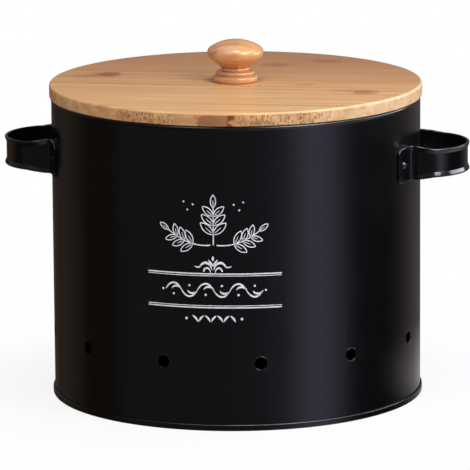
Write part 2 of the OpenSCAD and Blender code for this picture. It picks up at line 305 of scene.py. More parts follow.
def node_scars(tree, own, axes, rim):
    """Scars of nodes, which wander a little and break up into short dark fibres."""
    wander = add(tree, "ShaderNodeTexNoise", {"Vector": own, "Scale": 1 / 5, "Detail": 1.0})
    sway = add(tree, "ShaderNodeMapRange", {"Value": wander, "To Min": -6.0, "To Max": 6.0})
    run = add(tree, "ShaderNodeMath", {0: axes["X"], 1: sway}, operation="ADD")
    spot = add(tree, "ShaderNodeCombineXYZ", {"X": run, "Y": axes["Y"]})
    scars = 0.0
    for x, y, half_l, half_w, depth in BAMBOO_NODES:
        oval = add(tree, "ShaderNodeMapping", {
            "Vector": spot, "Location": (x, y, 0), "Scale": (half_l, half_w, 1)}, vector_type="TEXTURE")
        away = add(tree, "ShaderNodeVectorMath", {0: oval}, operation="LENGTH")
        scar = add(tree, "ShaderNodeMapRange", {
            "Value": away, "From Min": 0.25, "From Max": 1.1, "To Min": depth, "To Max": 0.0},
            interpolation_type="SMOOTHSTEP")
        scars = add(tree, "ShaderNodeMath", {0: scars, 1: scar}, operation="MAXIMUM")
    broken = add(tree, "ShaderNodeMapRange", {
        "Value": fibres(tree, own, 12, 5), "From Min": 0.4, "From Max": 0.52, "To Min": 0.45, "To Max": 1.0})
    scars = add(tree, "ShaderNodeMath", {0: scars, 1: broken}, operation="MULTIPLY")

    # The rim's own node is a brown patch
    offset = add(tree, "ShaderNodeMath", {0: run, 1: RIM_NODE_X}, operation="SUBTRACT")
    away = add(tree, "ShaderNodeMath", {0: offset}, operation="ABSOLUTE")
    patch = add(tree, "ShaderNodeMapRange", {
        "Value": away, "From Min": RIM_NODE_W / 2 - 1, "From Max": RIM_NODE_W / 2 + 1,
        "To Min": 1.0, "To Max": 0.0})
    depth = add(tree, "ShaderNodeMapRange", {
        "Value": axes["X"], "From Min": RIM_NODE_DARK_X, "From Max": RIM_NODE_DARK_X + 1.5,
        "To Min": 0.55, "To Max": 1.0})
    front = add(tree, "ShaderNodeMath", {0: axes["Y"], 1: 0.0}, operation="LESS_THAN")
    for share in (depth, rim, front):
        patch = add(tree, "ShaderNodeMath", {0: patch, 1: share}, operation="MULTIPLY")
    return add(tree, "ShaderNodeMath", {0: scars, 1: patch}, operation="MAXIMUM")


def bamboo_board(name, lacquer):
    """Strip-laminated bamboo, sanded and oiled: each strip has its own tone and long pale fibres, with
    painted shade that darkens the strips towards the back, thin glue joints, brown nodes, and dots on the
    rim where bundles end. The rim is painted paler towards the right and along its upper edge, as painted
    highlights of the light from that side."""
    material, tree = blank(name)
    place = millimetres(tree)
    axes = add(tree, "ShaderNodeSeparateXYZ", {"Vector": place}).outputs

    from_front = add(tree, "ShaderNodeMath", {0: axes["Y"], 1: LID_FRONT}, operation="SUBTRACT")
    count = add(tree, "ShaderNodeMath", {0: from_front, 1: STRIP_W}, operation="DIVIDE")
    back_share = add(tree, "ShaderNodeMath", {0: count, 1: STRIPS}, operation="DIVIDE")
    # Each strip's own tone, darker towards the back partly as painted shade
    tone = add(tree, "ShaderNodeValToRGB", {"Fac": back_share}, stops=[
        (i / STRIPS, linear(colour)) for i, colour in enumerate(STRIP_TONES_AND_SHADE)])
    tone.color_ramp.interpolation = "CONSTANT"

    strip = add(tree, "ShaderNodeMath", {0: count}, operation="FLOOR")
    shifted = add(tree, "ShaderNodeMath", {0: strip, 1: STEM_SHIFT}, operation="MULTIPLY")
    shift = add(tree, "ShaderNodeCombineXYZ", {"X": shifted})
    own = add(tree, "ShaderNodeVectorMath", {0: place, 1: shift}, operation="ADD")

    broad = fibres(tree, own, 260, 7)
    band = fibres(tree, own, 110, 5)
    streak = fibres(tree, own, 60, 1.6)
    fibre = fibres(tree, own, 30, 0.5)
    honey = add(tree, "ShaderNodeMapRange", {
        "Value": broad, "From Min": 0.38, "From Max": 0.68, "To Min": 0.0, "To Max": 0.6})
    base = add(tree, "ShaderNodeMix", {
        "Factor": honey, "A": tone, "B": linear("#b57c48")}, data_type="RGBA")

    # Streaks and glue joints make the colour darker or paler by these shares
    part = add(tree, "ShaderNodeMath", {0: count}, operation="FRACT")
    to_joint = add(tree, "ShaderNodeMath", {0: part, 1: 0.5}, operation="PINGPONG")
    shade = 1.0
    for value, start, end, low, high in (
            (band, 0.3, 0.7, 0.9, 1.07),
            (streak, 0.3, 0.7, 0.95, 1.04),
            (fibre, 0.55, 0.75, 1.0, 0.88),
            (to_joint, 0.0, JOINT_W / 2 / STRIP_W, 0.78, 1.0)):
        share = add(tree, "ShaderNodeMapRange", {
            "Value": value, "From Min": start, "From Max": end, "To Min": low, "To Max": high})
        shade = add(tree, "ShaderNodeMath", {0: shade, 1: share}, operation="MULTIPLY")

    # The rim, from just below its rounded, sanded upper edge. A painted highlight is added along that edge,
    # stronger towards the right, where the light falls
    flat = add(tree, "ShaderNodeCombineXYZ", {"X": axes["X"], "Y": axes["Y"]})
    radius = add(tree, "ShaderNodeVectorMath", {0: flat}, operation="LENGTH")
    outside = add(tree, "ShaderNodeMath", {
        0: radius, 1: -LID_FRONT - LID_EDGE_R}, operation="GREATER_THAN")
    below = add(tree, "ShaderNodeMapRange", {
        "Value": axes["Z"], "From Min": LID_TOP - LID_EDGE_R,
        "From Max": LID_TOP - LID_EDGE_R - LID_EDGE_FADE})
    rim = add(tree, "ShaderNodeMath", {0: outside, 1: below}, operation="MULTIPLY")
    above = add(tree, "ShaderNodeMath", {0: 1.0, 1: below}, operation="SUBTRACT")
    sanded = add(tree, "ShaderNodeMath", {0: outside, 1: above}, operation="MULTIPLY")
    # Painted highlight along the upper edge, growing towards the right
    edge_highlight = add(tree, "ShaderNodeMapRange", {
        "Value": axes["X"], "From Min": 0, "From Max": 90, "To Min": 0.08, "To Max": 0.3})
    paler = add(tree, "ShaderNodeMath", {0: sanded, 1: edge_highlight}, operation="MULTIPLY")
    shade = add(tree, "ShaderNodeMath", {0: shade, 1: paler}, operation="ADD")

    bundle = bundle_marks(tree, own, axes, rim)
    scars = node_scars(tree, own, axes, rim)

    # Painted highlight: the rim is mixed towards a pale cream towards the right, where the light from that
    # side falls
    painted_rim_glare = add(tree, "ShaderNodeMapRange", {
        "Value": axes["X"], "From Min": 20, "From Max": 110, "To Min": 0.0, "To Max": 0.3})
    pale = add(tree, "ShaderNodeMath", {0: outside, 1: painted_rim_glare}, operation="MULTIPLY")
    base = add(tree, "ShaderNodeMix", {
        "Factor": pale, "A": base, "B": linear("#e6d2b4")}, data_type="RGBA")
    grained = add(tree, "ShaderNodeVectorMath", {0: base, "Scale": shade}, operation="SCALE")
    dotted = add(tree, "ShaderNodeMix", {
        "Factor": bundle, "A": grained, "B": linear("#7c4c24")}, data_type="RGBA")
    colour = add(tree, "ShaderNodeMix", {
        "Factor": scars, "A": dotted, "B": linear("#7c4420")}, data_type="RGBA")
    relief = add(tree, "ShaderNodeBump", {"Height": fibre, "Distance": 0.05 * MM, "Strength": 0.5})
    oiled = add(tree, "ShaderNodeMapRange", {"Value": streak, "To Min": 0.42, "To Max": 0.58})
    wood = add(tree, "ShaderNodeBsdfPrincipled", {
        "Base Color": colour, "Roughness": oiled, "IOR": 1.45, "Specular IOR Level": 0.3,
        "Normal": relief, "Coat Weight": lacquer, "Coat Roughness": 0.18})
    add(tree, "ShaderNodeOutputMaterial", {"Surface": wood})
    return material


# The knob's right part, beyond this X, is painted yellower, a painted highlight where the light from the
# right falls on it
KNOB_LIT_SIDE_X = 3.2


def varnished_knob(name):
    """Turned bamboo under clear varnish: warm, with the block's fibres cut into long arcs."""
    material, tree = blank(name)
    broad = add(tree, "ShaderNodeTexNoise", {
        "Vector": millimetres(tree, (38, 3.5, 3.5)), "Scale": 1.0, "Detail": 3.0, "Roughness": 0.5})
    fine = add(tree, "ShaderNodeTexNoise", {
        "Vector": millimetres(tree, (22, 0.7, 0.7)), "Scale": 1.0, "Detail": 2.0})
    tone = add(tree, "ShaderNodeValToRGB", {"Fac": broad}, stops=[
        (0.3, linear("#b67a4e")), (0.5, linear("#cd9266")), (0.7, linear("#dbaa80"))])
    axes = add(tree, "ShaderNodeSeparateXYZ", {"Vector": millimetres(tree)}).outputs
    # Painted highlight: the right part is mixed towards a yellower tone
    side = add(tree, "ShaderNodeMapRange", {
        "Value": axes["X"], "From Min": KNOB_LIT_SIDE_X, "From Max": KNOB_LIT_SIDE_X + JOINT_W,
        "To Max": 0.5})
    painted_lit_side = add(tree, "ShaderNodeMix", {
        "Factor": side, "A": tone, "B": linear("#d9a150")}, data_type="RGBA")
    thread = add(tree, "ShaderNodeMapRange", {
        "Value": fine, "From Min": 0.55, "From Max": 0.75, "To Min": 1.0, "To Max": 0.84})
    grained = add(tree, "ShaderNodeVectorMath", {0: painted_lit_side, "Scale": thread}, operation="SCALE")
    wood = add(tree, "ShaderNodeBsdfPrincipled", {
        "Base Color": grained, "Roughness": 0.45, "IOR": 1.5,
        "Coat Weight": 0.7, "Coat Roughness": 0.17})
    add(tree, "ShaderNodeOutputMaterial", {"Surface": wood})
    return material


def silicone(name):
    """Moulded food-grade silicone: milky, soft to look at, with a dull shine."""
    material, tree = blank(name)
    dust = add(tree, "ShaderNodeTexNoise", {
        "Vector": millimetres(tree), "Scale": 1 / 1.5, "Detail": 3.0})
    tone = add(tree, "ShaderNodeValToRGB", {"Fac": dust}, stops=[
        (0.3, linear("#dcdbd4")), (0.7, linear("#eceae4"))])
    rubber = add(tree, "ShaderNodeBsdfPrincipled", {
        "Base Color": tone, "Roughness": 0.5, "IOR": 1.41,
        "Subsurface Weight": 0.3, "Subsurface Scale": 1.0 * MM})
    add(tree, "ShaderNodeOutputMaterial", {"Surface": rubber})
    return material


def zinc_plate(name):
    """Bright zinc plate on a steel screw: a bluish grey metal, slightly clouded."""
    material, tree = blank(name)
    cloud = add(tree, "ShaderNodeTexNoise", {
        "Vector": millimetres(tree), "Scale": 1 / 1.2, "Detail": 3.0})
    rough = add(tree, "ShaderNodeMapRange", {"Value": cloud, "To Min": 0.22, "To Max": 0.42})
    tone = add(tree, "ShaderNodeValToRGB", {"Fac": cloud}, stops=[
        (0.3, linear("#a9acb2")), (0.7, linear("#c9ccd1"))])
    metal = add(tree, "ShaderNodeBsdfPrincipled", {
        "Base Color": tone, "Metallic": 1.0, "Roughness": rough})
    add(tree, "ShaderNodeOutputMaterial", {"Surface": metal})
    return material


def screen_ink(name):
    """White screen-printing ink: a thin matt film, slightly patchy over the black."""
    material, tree = blank(name)
    patchy = add(tree, "ShaderNodeTexNoise", {
        "Vector": millimetres(tree), "Scale": 1 / 0.9, "Detail": 2.0})
    tone = add(tree, "ShaderNodeValToRGB", {"Fac": patchy}, stops=[
        (0.35, linear("#c4c4cc")), (0.6, linear("#eeeef2"))])
    film = add(tree, "ShaderNodeBsdfPrincipled", {
        "Base Color": tone, "Roughness": 0.6, "IOR": 1.45})
    add(tree, "ShaderNodeOutputMaterial", {"Surface": film})
    return material


# Meshes

def link_mesh(bm, name, material):
    """Makes a bmesh an object in the scene."""
    mesh = bpy.data.meshes.new(name)
    bm.to_mesh(mesh)
    bm.free()
    mesh.materials.append(material)
    piece = bpy.data.objects.new(name, mesh)
    bpy.context.collection.objects.link(piece)
    return piece


def finish_piece(bm, name, material, body, node=None, sharp=35):
    """Makes a bmesh in millimetres a piece that rides on a body, and stands for a CAD node."""
    bmesh.ops.remove_doubles(bm, verts=bm.verts, dist=MERGE)
    bmesh.ops.recalc_face_normals(bm, faces=bm.faces)
    bmesh.ops.scale(bm, vec=(MM, MM, MM), verts=bm.verts)
    piece = link_mesh(bm, name, material)
    piece.data.shade_smooth()
    piece.data.set_sharp_from_angle(angle=math.radians(sharp))
    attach(piece, body)
    if node:
        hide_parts(node)
    return piece


def lay_grid(bm, rows, columns, place):
    """A grid of faces whose vertices go where place says, from their shares of both ways."""
    for vertex in bmesh.ops.create_grid(bm, x_segments=columns, y_segments=rows, size=0.5)["verts"]:
        vertex.co = place(vertex.co.y + 0.5, vertex.co.x + 0.5)


def make_knob(material):
    """The knob as it leaves the lathe: two rings, a beaded neck and a head with a cone
    below, a round edge and a flat crown, spun from their section."""
    head_edge = Vector((KNOB_R - HEAD_EDGE_R, KNOB_H - CROWN_H))
    crown_r = (head_edge.x ** 2 + CROWN_H ** 2 - HEAD_EDGE_R ** 2) / (2 * (CROWN_H - HEAD_EDGE_R))
    crown = Vector((0, KNOB_H - crown_r))
    crown_start = math.degrees(math.atan2(head_edge.y - crown.y, head_edge.x))
    section = [Vector((0, 0))] + arc(*RING_FOOT) + arc(*LOWER_RING) + arc(*UPPER_RING)
    section += [Vector(LOWER_GROOVE)] + arc(*NECK_BEAD) + [Vector(UPPER_GROOVE), Vector(CONE_FOOT)]
    section += arc(head_edge, HEAD_EDGE_R, -CONE_SLOPE, crown_start, HEAD_STEPS)
    section += arc(crown, crown_r, crown_start, 90, HEAD_STEPS)[1:]
    bm = bmesh.new()
    line = [bm.verts.new((p.x, 0, LID_TOP + p.y)) for p in section]
    edges = [bm.edges.new(pair) for pair in zip(line, line[1:])]
    bmesh.ops.spin(bm, geom=line + edges, cent=(0, 0, 0), axis=(0, 0, 1),
                   angle=math.tau, steps=KNOB_SIDES, use_merge=True)
    finish_piece(bm, "turned_knob", material, "lid", "knob")


def strap_section(half_w, thick, high):
    """Half of the strap's outline, from the middle of its inner face up, over the rolled hem
    and down to the middle of its outer face, as distance from the inner face and height. The
    hem's outer face slopes in towards the strap and ends in a small ledge."""
    top_r = thick / 2
    outline = [Vector((0, 0)), Vector((0, half_w / 2))]
    outline += arc((top_r, half_w - top_r), top_r, 180, -HEM_SLOPE, HEM_STEPS)
    outline += [Vector((STRAP_T + HEM_LEDGE, half_w - high)), Vector((STRAP_T, half_w - high))]
    return outline + [Vector((STRAP_T, 0))]


def strap_stations():
    """Where the strap runs, from the nose to the end of a foot. Each station is a point of
    the inner face, the way that the outer face looks, and the section's three sizes."""
    reach = box_mm("right_handle")[1].x
    foot_w = box_mm("right_handle")[1].z - box_mm("right_handle")[0].z
    axis = Vector((0, 0))
    nose = Vector((reach - NOSE_R, 0))
    side = nose + (NOSE_R - SIDE_R) * unit(NOSE_TURN)
    inner_r = WALL_R + FOOT_LIFT
    foot_r = inner_r + STRAP_T
    from_axis = foot_r + FOLD_R
    from_side = SIDE_R - (HEM_T - STRAP_T) + FOLD_R
    cosine = (from_axis ** 2 + side.length ** 2 - from_side ** 2) / (2 * from_axis * side.length)
    fold_a = math.degrees(math.atan2(side.y, side.x) + math.acos(cosine))
    fold = from_axis * unit(fold_a)
    fold_start = math.degrees(math.atan2(side.y - fold.y, side.x - fold.x))
    side_end = fold_start + 180
    degrees_per_mm = math.degrees(1 / foot_r)
    flat = FOOT_L - FOOT_CORNER_R

    def station(centre, radius, angle, facing, share, cut=0):
        """Share is 1 in the loop and 0 on a foot, and the foot's corners are cut."""
        return (centre + radius * unit(angle), facing * unit(angle),
                mix(foot_w, LOOP_W, share) / 2 - cut,
                mix(STRAP_T + FOOT_HEM_T, HEM_T, share), mix(FOOT_HEM_H, HEM_H, share))

    half = [station(nose, NOSE_R - HEM_T, NOSE_TURN * i / NOSE_STEPS, 1, 1)
            for i in range(NOSE_STEPS + 1)]
    for i in range(1, SIDE_STEPS + 1):
        gone = i / SIDE_STEPS
        half.append(station(side, SIDE_R - HEM_T, mix(NOSE_TURN, side_end, gone), 1,
                            min(1, (1 - gone) / WIDENING)))
    half += [station(fold, FOLD_R + STRAP_T, mix(fold_start, fold_a - 180, i / FOLD_STEPS), -1, 0)
             for i in range(1, FOLD_STEPS + 1)]
    half += [station(axis, inner_r, fold_a + flat * degrees_per_mm * i / FLAT_STEPS, 1, 0)
             for i in range(1, FLAT_STEPS)]
    for i in range(CORNER_STEPS + 1):
        turn = math.radians(90 * i / CORNER_STEPS)
        along = flat + FOOT_CORNER_R * math.sin(turn)
        half.append(station(axis, inner_r, fold_a + along * degrees_per_mm, 1, 0,
                            FOOT_CORNER_R * (1 - math.cos(turn))))
    return half


def make_handle(name, node, flip, material):
    """A strap handle with its hems rolled round, swept through the stations."""
    half = strap_stations()
    other = [(Vector((p.x, -p.y)), Vector((n.x, -n.y)), *sizes) for p, n, *sizes in half[:0:-1]]
    stations = other + half
    middle = (box_mm(node)[0].z + box_mm(node)[1].z) / 2
    outlines = []
    for _, _, *sizes in stations:
        upper = strap_section(*sizes)
        lower = [Vector((q.x, -q.y)) for q in upper[::-1]]
        outlines.append(upper + lower[1:])
    last_row = len(stations) - 1
    last_column = len(outlines[0]) - 1

    def place(along, around):
        row = round(along * last_row)
        point, facing = stations[row][:2]
        out, height = outlines[row][round(around * last_column)]
        spot = point + out * facing
        return Vector((flip * spot.x, spot.y, middle + height))

    bm = bmesh.new()
    lay_grid(bm, last_row, last_column, place)
    bmesh.ops.remove_doubles(bm, verts=bm.verts, dist=MERGE)
    bmesh.ops.holes_fill(bm, edges=[e for e in bm.edges if e.is_boundary], sides=0)
    finish_piece(bm, name, material, "tin", node, sharp=40)


def make_vent_edges(material):
    """The coat gathers on the vents' punched edges and rounds them."""
    bm = bmesh.new()
    for vent in range(VENTS):
        middle = math.tau * (vent + 0.5) / VENTS

        def place(along, across):
            around, turn = math.tau * along, math.tau * across
            r = VENT_R + VENT_EDGE_R + VENT_EDGE_R * math.cos(turn)
            a = middle + r * math.cos(around) / WALL_R
            out = WALL_R - SHEET / 2 + VENT_EDGE_R * math.sin(turn)
            return Vector((out * math.sin(a), -out * math.cos(a), VENT_Z + r * math.sin(around)))

        lay_grid(bm, VENT_STEPS, VENT_EDGE_STEPS, place)
    finish_piece(bm, "vent_edges", material, "tin")


# Print: flat designs, X across and Z up, that are wrapped round the wall. A stroke is a
# curve of four control points with its width at the start, the middle and the end

# The print is turned to the right by this angle
PRINT_TURN = 0.9

# The film of ink, and how far its middle stands off the wall
INK_T = 0.05
INK_LIFT = 0.02

# How many steps a stroke is laid in, and those in which a stem is measured for its leaves
STROKE_STEPS = 24
STEM_STEPS = 60

# No stroke gets thinner than this
HAIRLINE = 0.08

# Leaves are drawn with a line of this width and stand off their stem by this angle
LEAF_PEN = 0.62
LEAF_TURN = 48

# The double rules, with a broad line outside and a thin one inside
RULE_LEFT = -43.5
RULE_RIGHT = 43.3
UPPER_RULE_Z = 101.1
LOWER_RULE_Z = 80.3
RULE_PARTS = 4

# The scroll between the rules and the row of dashes below them
SCROLL_Z = 91
WAVES = 6
WAVE_L = 10.4
WAVE_H = 5.6
ROW_Z = 72.6
DASHES = 7
DASH_GAP = 4
DASH_TURN = 50


def mirrored(strokes):
    """The same strokes and their mirror images."""
    return strokes + [([(-x, z) for x, z in curve], widths) for curve, widths in strokes]


def moved(strokes, x, z, turn=0):
    """Strokes turned about their origin and shifted."""
    c, s = unit(turn)
    return [([(x + c * p - s * q, z + s * p + c * q) for p, q in curve], widths)
            for curve, widths in strokes]


def lay_stroke(bm, curve, widths):
    """Lays a brush stroke as a strip of faces."""
    points = interpolate_bezier(*[Vector(p) for p in curve], STROKE_STEPS + 1)
    start, middle, end = widths
    bulge = 2 * middle - (start + end) / 2

    def place(along, across):
        i = round(along * STROKE_STEPS)
        run = (points[min(i + 1, STROKE_STEPS)] - points[max(i - 1, 0)]).normalized()
        width = (1 - along) ** 2 * start + 2 * along * (1 - along) * bulge + along ** 2 * end
        spot = points[i] + Vector((-run.y, run.x)) * max(width, HAIRLINE) * (across - 0.5)
        return Vector((spot.x, 0, spot.y))

    lay_grid(bm, STROKE_STEPS, 2, place)


def lay_dot(bm, x, z, radius):
    """Lays a round dot that faces the front."""
    upright = Matrix.Translation((x, 0, z)) @ Matrix.Rotation(math.radians(90), 4, "X")
    bmesh.ops.create_circle(bm, cap_ends=True, radius=radius, segments=20, matrix=upright)


def print_design(name, strokes, dots, ink):
    """Wraps a flat design round the wall and thickens it to a film of ink."""
    bm = bmesh.new()
    for curve, widths in strokes:
        lay_stroke(bm, curve, widths)
    for x, z, radius in dots:
        lay_dot(bm, x, z, radius)
    for vertex in bm.verts:
        around = math.radians(PRINT_TURN) + vertex.co.x / WALL_R
        radius = WALL_R + INK_LIFT
        vertex.co = (radius * math.sin(around), -radius * math.cos(around), vertex.co.z)
    piece = finish_piece(bm, name, ink, "tin")
    film = piece.modifiers.new("ink", "SOLIDIFY")
    film.thickness = INK_T * MM
    film.offset = 0


def rule(z, width):
    """A straight line, in parts short enough to follow the wall."""
    ends = [mix(RULE_LEFT, RULE_RIGHT, i / RULE_PARTS) for i in range(RULE_PARTS + 1)]
    return [([(a, z), (mix(a, b, 1 / 3), z), (mix(a, b, 2 / 3), z), (b, z)], (width,) * 3)
            for a, b in zip(ends, ends[1:])]


def leaf(length, width, pen):
    """A leaf in outline with its midrib, growing along +X from the origin."""
    side = [(0, 0), (length * 0.3, width * 0.75), (length * 0.75, width * 0.6), (length, 0)]
    other = [(x, -z) for x, z in side]
    rib = [(length * 0.15, 0), (length * 0.3, 0), (length * 0.45, 0.1), (length * 0.6, 0)]
    return [(side, (pen, pen, pen)), (other, (pen, pen, pen)), (rib, (pen * 0.8, pen * 0.7, pen * 0.4))]


def sprig(stem, first, pairs, length):
    """A stem with pairs of leaves, from a share of it to its tip, where one leaf ends it."""
    pen = LEAF_PEN
    points = interpolate_bezier(*[Vector(p) for p in stem], STEM_STEPS + 1)
    strokes = [(stem, (pen * 1.3, pen * 1.1, pen))]
    for pair in range(pairs + 1):
        i = round(STEM_STEPS * mix(first, 1, pair / pairs))
        run = points[min(i + 1, STEM_STEPS)] - points[max(i - 1, 0)]
        heading = math.degrees(math.atan2(run.y, run.x))
        size = length * (1 - 0.25 * pair / pairs)
        turns = (0,) if pair == pairs else (-LEAF_TURN, LEAF_TURN)
        for turn in turns:
            strokes += moved(leaf(size, size * 0.4, pen), *points[i], heading + turn)
    return strokes


def print_rules(ink):
    """Two double rules, above and below the scroll."""
    rules = []
    for z, outward in ((UPPER_RULE_Z, 1), (LOWER_RULE_Z, -1)):
        rules += rule(z + 0.5 * outward, 0.8) + rule(z - 0.75 * outward, 0.45)
    print_design("printed_rules", rules, [], ink)


def print_palmette(ink):
    """A small palmette that stands on the upper rule."""
    palmette = mirrored([
        ([(-0.2, 4.6), (-0.6, 6.3), (-1.9, 7.2), (-2.9, 9.0)], (0.3, 1.3, 0.2)),
        ([(-0.6, 2.2), (-1.6, 8.4), (-7.2, 8.0), (-8.6, 3.6)], (0.3, 1.6, 0.3)),
        ([(-7.2, 5.6), (-8.6, 3.4), (-10.0, 3.9), (-12.0, 4.7)], (0.8, 1.0, 0.2)),
        ([(-1.4, 0.4), (-1.8, 4.4), (-5.4, 4.6), (-5.9, 1.2)], (0.3, 1.1, 0.9))])
    palmette.append(([(0, 11.2), (0, 10.2), (0, 9.2), (0, 8.1)], (0.2, 1.5, 0.4)))
    print_design("printed_palmette", moved(palmette, -0.4, 101.8), [], ink)


def print_spray(ink):
    """A leafy spray with berries."""
    spray = mirrored(sprig([(2, 120), (11, 119), (20, 122), (29, 129)], 0.42, 3, 9.5))
    spray += sprig([(0, 120), (0, 127), (0, 137), (0, 144)], 0.3, 3, 11)
    berries = [(side * x, z, 0.6) for side in (-1, 1) for x, z in ((13, 146), (16.5, 142.5), (19, 147.5))]
    print_design("printed_spray", spray, berries, ink)


def print_scroll(ink):
    """A running scroll between the rules, with a curl and a bead in each wave."""
    scroll = []
    beads = []
    for i in range(WAVES):
        up = 1 if i % 2 == 0 else -1
        x = WAVE_L * (i - WAVES / 2)
        wave = [(x, 0), (x + WAVE_L * 0.3, up * WAVE_H), (x + WAVE_L * 0.7, up * WAVE_H), (x + WAVE_L, 0)]
        curl = [(x + WAVE_L, 0), (x + WAVE_L * 0.95, up * 2.6), (x + WAVE_L * 0.45, up * 3.0),
                (x + WAVE_L * 0.4, up * 0.2)]
        scroll += [(wave, (0.55, 1.15, 0.55)), (curl, (0.35, 1.3, 0.3))]
        beads.append((x + WAVE_L / 2, SCROLL_Z - up * 2.9, 0.75))
    beads += [(-33, SCROLL_Z, 0.7), (33, SCROLL_Z, 0.7)]
    print_design("printed_scroll", moved(scroll, 0, SCROLL_Z), beads, ink)


def print_row(ink):
    """A zigzag row of dashes with a dot at both ends."""
    dash = [([(-2.6, 0), (-0.9, 0.6), (0.9, 0.6), (2.6, 0)], (0.3, 1.3, 0.3))]
    row = []
    for i in range(DASHES):
        row += moved(dash, DASH_GAP * (i - DASHES // 2), ROW_Z, DASH_TURN if i % 2 else -DASH_TURN)
    print_design("printed_row", row, [(-17.7, ROW_Z, 0.85), (17.7, ROW_Z, 0.85)], ink)


# Studio

# What the coat mirrors low down, by bearing from the front, as the photograph's wall shows it
ROOM = (
    (-90, (0.045, 0.03, 0.015)),
    (-78, (0.055, 0.04, 0.032)),
    (-59, (0.13, 0.11, 0.11)),
    (0, (0.1, 0.09, 0.1)),
    (22, (0.1, 0.09, 0.12)),
    (38, (0.2, 0.18, 0.26)),
    (48, (0.57, 0.54, 0.74)),
    (58, (0.76, 0.7, 1.0)),
    (68, (0.6, 0.56, 0.78)),
    (79, (0.2, 0.19, 0.26)),
    (88, (0.03, 0.03, 0.045)),
    (94, (0, 0, 0)),
    (118, (0, 0, 0)),
    (136, (0.1, 0.085, 0.085)),
    (147, (0.15, 0.13, 0.12)),
    (170, (0.15, 0.13, 0.12)),
    (217, (0.056, 0.038, 0.031)),
    (233, (0.107, 0.079, 0.06)),
    (247, (0.11, 0.08, 0.055)),
    (263, (0.048, 0.028, 0.01)),
    (270, (0.045, 0.03, 0.015)),
)

# What glossy surfaces mirror high up, as a share of the window's brightness
ROOM_ABOVE = (
    (-90, 0.008),
    (-45, 0.035),
    (-20, 0.02),
    (20, 0.05),
    (40, 1.0),
    (90, 1.0),
    (110, 0.1),
    (140, 0.018),
    (220, 0.014),
    (270, 0.007),
)
WINDOW = 7.5
CEILING = (1.4, 1.4, 1.5, 1)
HAZE = (0.33, 0.34, 0.38, 1)

# The floor: half its width, where the tin's shadow starts and ends, and how much of the
# shadow shows
FLOOR_HALF = 6
SHADOW_NEAR = 0.12
SHADOW_FAR = 0.26
SHADOW_SHARE = 0.12

# The lit paper beside the foot, by bearing and by distance from the axis. It is full bright
# up to LIT_FULL and behind LIT_BACK_Y, and fades out to LIT_FAR and LIT_FRONT_Y
LIT_FROM = 70
LIT_TO = 150
LIT_NEAR = 0.1
LIT_FULL = 0.13
LIT_FAR = 0.27
LIT_FRONT_Y = -0.035
LIT_BACK_Y = 0.04
LIT_LIFT = 0.0002

# The lamps look at the middle of the lid
LAMP_AIM = Vector((0, 0, 0.2))


def bearing(azimuth, elevation, distance):
    """A point seen from the tin's middle: azimuth 0 is the front and 90 the right."""
    a, e = math.radians(azimuth), math.radians(elevation)
    return Vector((math.sin(a) * math.cos(e), -math.cos(a) * math.cos(e), math.sin(e))) * distance


def lamp(name, azimuth, elevation, distance, size, power, colour="#ffffff"):
    """A rectangular soft box. Its angles are in degrees, its distance and size in metres and
    its power in watts."""
    data = bpy.data.lights.new(name, "AREA")
    data.shape = "RECTANGLE"
    data.size, data.size_y = size
    data.energy = power
    data.color = linear(colour)[:3]
    box = bpy.data.objects.new(name, data)
    box.location = LAMP_AIM + bearing(azimuth, elevation, distance)
    box.rotation_mode = "QUATERNION"
    box.rotation_quaternion = (LAMP_AIM - box.location).to_track_quat("-Z", "Y")
    bpy.context.collection.objects.link(box)


def make_camera():
    """The photograph's camera: a long lens from three metres off."""
    data = bpy.data.cameras.new("camera")
    data.sensor_width = 36
    data.lens = CAMERA_LENS
    data.clip_end = 20
    camera = bpy.data.objects.new("camera", data)
    camera.location = (CAMERA_PIVOT + bearing(CAMERA_AZIMUTH, CAMERA_ELEVATION, CAMERA_DISTANCE)) * MM
    level = (CAMERA_AIM * MM - camera.location).to_track_quat("-Z", "Y").to_matrix()
    camera.rotation_euler = (level @ Matrix.Rotation(math.radians(CAMERA_ROLL), 3, "Z")).to_euler()
    bpy.context.collection.objects.link(camera)
    bpy.context.scene.camera = camera


